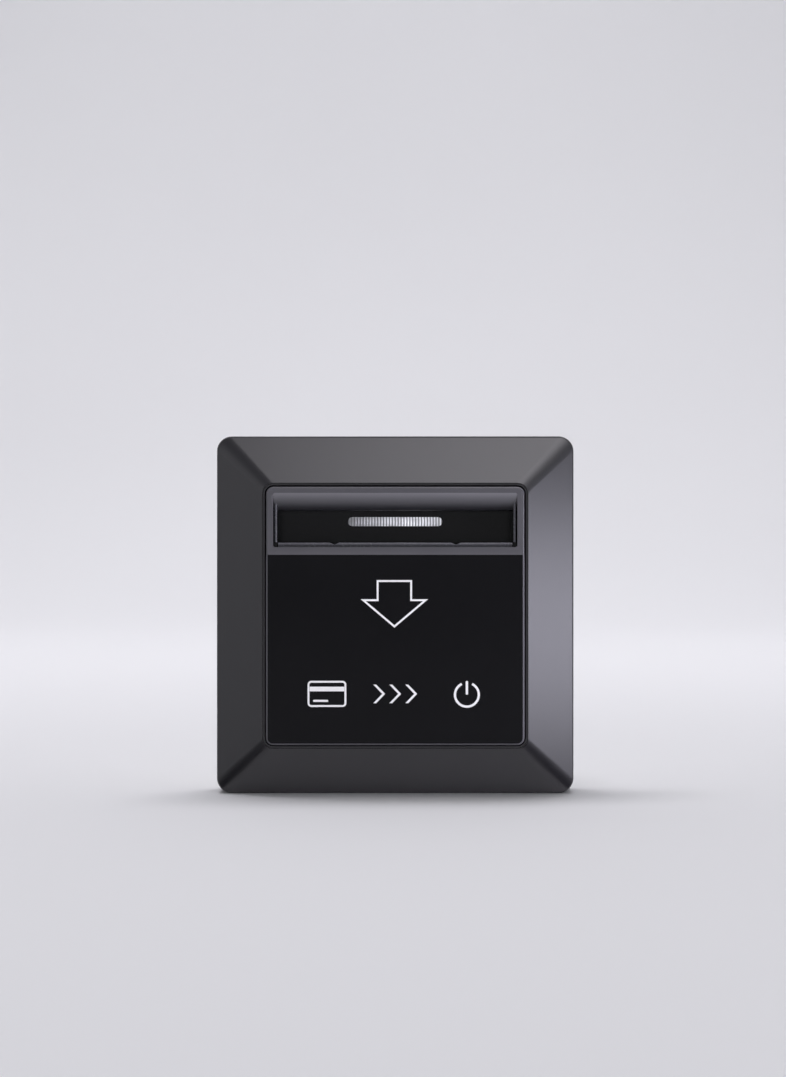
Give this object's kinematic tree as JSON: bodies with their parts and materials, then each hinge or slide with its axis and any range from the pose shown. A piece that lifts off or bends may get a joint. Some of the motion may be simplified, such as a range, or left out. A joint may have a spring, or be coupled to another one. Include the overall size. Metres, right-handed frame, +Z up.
{
  "type": "hotel key card switch",
  "caption": "Square wall plate with a slot for a hotel key card, a lit bar above the slot, and a reader, relay and terminals behind it that switch the room's power.",
  "frame": {"origin": "centre of the plate, on the plane of the wall", "axes": "the front faces -Y, +Z is up the wall, +X is to the right seen from the front"},
  "size_m": [0.086, 0.042, 0.086],
  "materials": {
    "satin_black": "fine satin moulding",
    "satin_grey": "fine satin moulding",
    "gloss_black": "polished, with a white print",
    "tray_black": "glossy moulding",
    "clear_lens": "clear, ribbed",
    "zinc_steel": "zinc plated",
    "white_moulding": "flame-proof moulding",
    "board_green": "green solder mask on glass fibre",
    "copper_wire": "enamelled copper wire",
    "lamp_white": "white lamp body",
    "chip_black": "black moulding",
    "nylon": "natural nylon",
    "plated_iron": "nickel plated soft iron",
    "contact_brass": "stamped brass",
    "relay_blue": "smooth moulding",
    "film_box": "potted box",
    "sleeved_can": "shrunk sleeve on a drawn can",
    "taped_yellow": "taped winding",
    "dipped_blue": "dipped coating",
    "ceramic_white": "ceramic tube",
    "terminal_green": "flame-proof moulding"
  },
  "bodies": {
    "base": {"base_plate": "white_moulding", "rear_housing": "white_moulding", "plate_screws": "zinc_steel", "reader_board": "board_green", "antenna_coil": "copper_wire", "indicator_leds": "lamp_white", "reader_chip": "chip_black", "controller_chip": "chip_black", "board_header": "chip_black", "power_board": "board_green", "board_spacers": "nylon", "board_screws": "zinc_steel", "relay_base": "chip_black", "relay_yoke": "plated_iron", "relay_core": "plated_iron", "relay_bobbin": "nylon", "relay_winding": "copper_wire", "relay_fixed_contact": "contact_brass", "relay_cover": "relay_blue", "film_capacitor": "film_box", "electrolytic_capacitor": "sleeved_can", "transformer": "taped_yellow", "varistor": "dipped_blue", "fuse": "ceramic_white", "terminal_block": "terminal_green", "terminal_clamps": "contact_brass", "terminal_screws": "zinc_steel"},
    "front": {"front_frame": "satin_black", "centre_cover": "satin_grey", "front_panel": "gloss_black", "card_guide": "satin_grey", "card_tray": "tray_black", "indicator_lens": "clear_lens", "front_screws": "zinc_steel"},
    "armature": {"relay_armature": "plated_iron", "relay_contact_arm": "contact_brass"}
  },
  "joints": [
    {"name": "front_pull", "type": "slide", "parent": "base", "child": "front", "axis": [0, -1, 0], "range_m": [0, 0.03]},
    {"name": "armature_swing", "type": "hinge", "parent": "base", "child": "armature", "pos_m": [-0.0126, 0.019, 0.003], "axis": [0, 0, -1], "range_deg": [0, 4], "stiffness_Nm_per_rad": 0.02}
  ]
}
